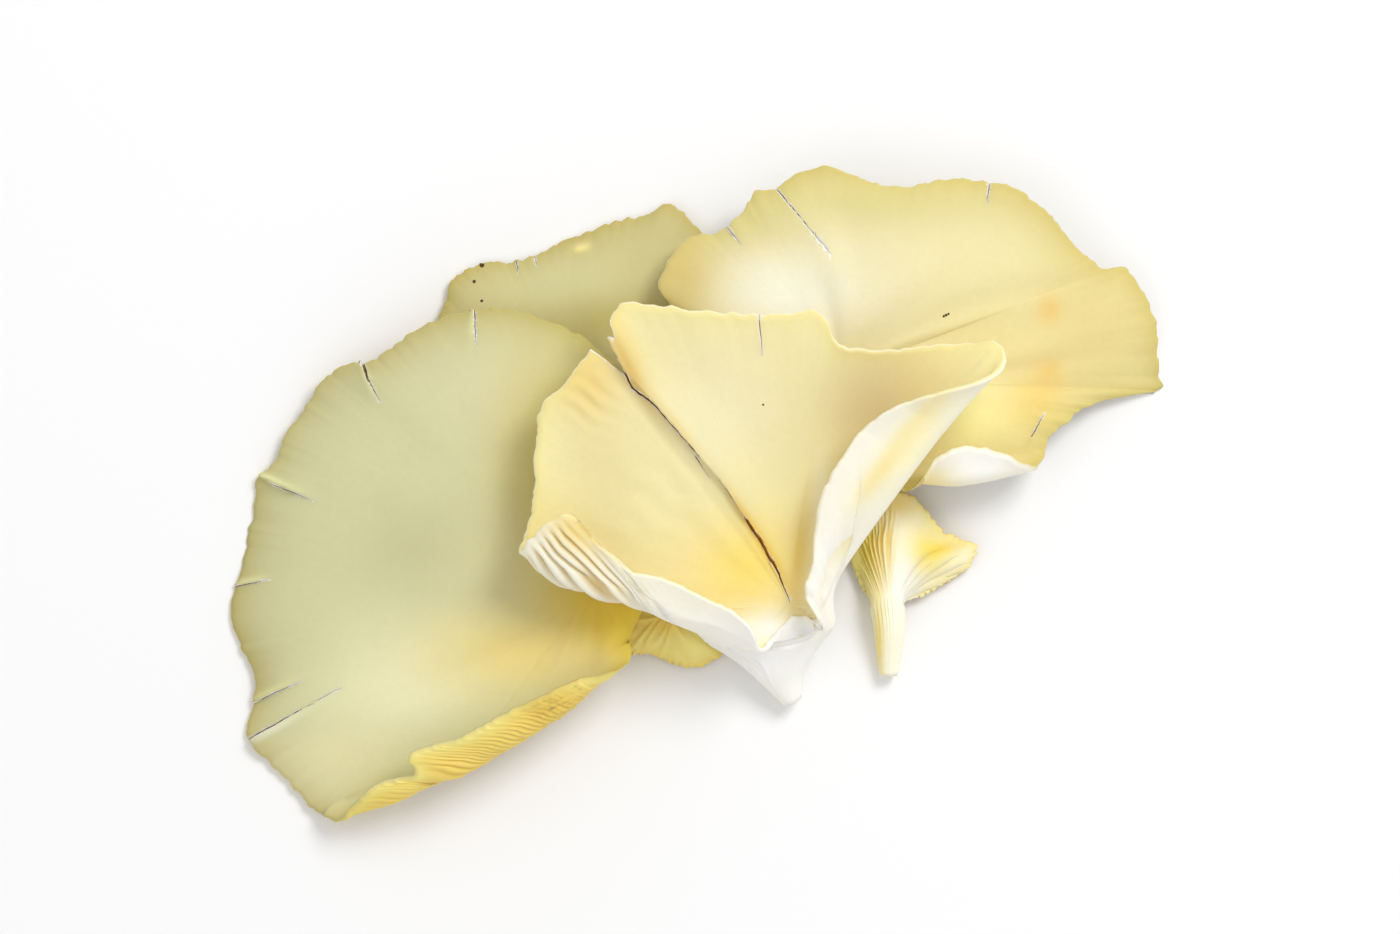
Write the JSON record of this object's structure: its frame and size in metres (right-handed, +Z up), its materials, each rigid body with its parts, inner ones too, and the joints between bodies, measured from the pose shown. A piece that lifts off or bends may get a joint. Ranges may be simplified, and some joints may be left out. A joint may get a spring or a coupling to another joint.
{
  "type": "oyster mushroom cluster",
  "caption": "Cluster of cut pale yellow oyster mushrooms with split wavy caps, rolled margins and gills, lying on one another, to set on a table or in food.",
  "frame": {"origin": "middle of the bounding box in plan, at the table", "axes": "+X along the cluster's length, to the right in the picture; +Y to the back, the top of the picture; +Z up"},
  "size_m": [0.1582, 0.1106, 0.03],
  "materials": {
    "left_flesh": "matt mushroom flesh",
    "back_flesh": "matt mushroom flesh",
    "right_flesh": "matt mushroom flesh",
    "front_flesh": "matt mushroom flesh",
    "low_flesh": "matt mushroom flesh",
    "small_flesh": "matt mushroom flesh"
  },
  "bodies": {
    "root": {"mushroom_left": "left_flesh", "mushroom_back": "back_flesh", "mushroom_right": "right_flesh", "mushroom_front": "front_flesh", "mushroom_low": "low_flesh", "mushroom_small": "small_flesh"}
  },
  "joints": []
}
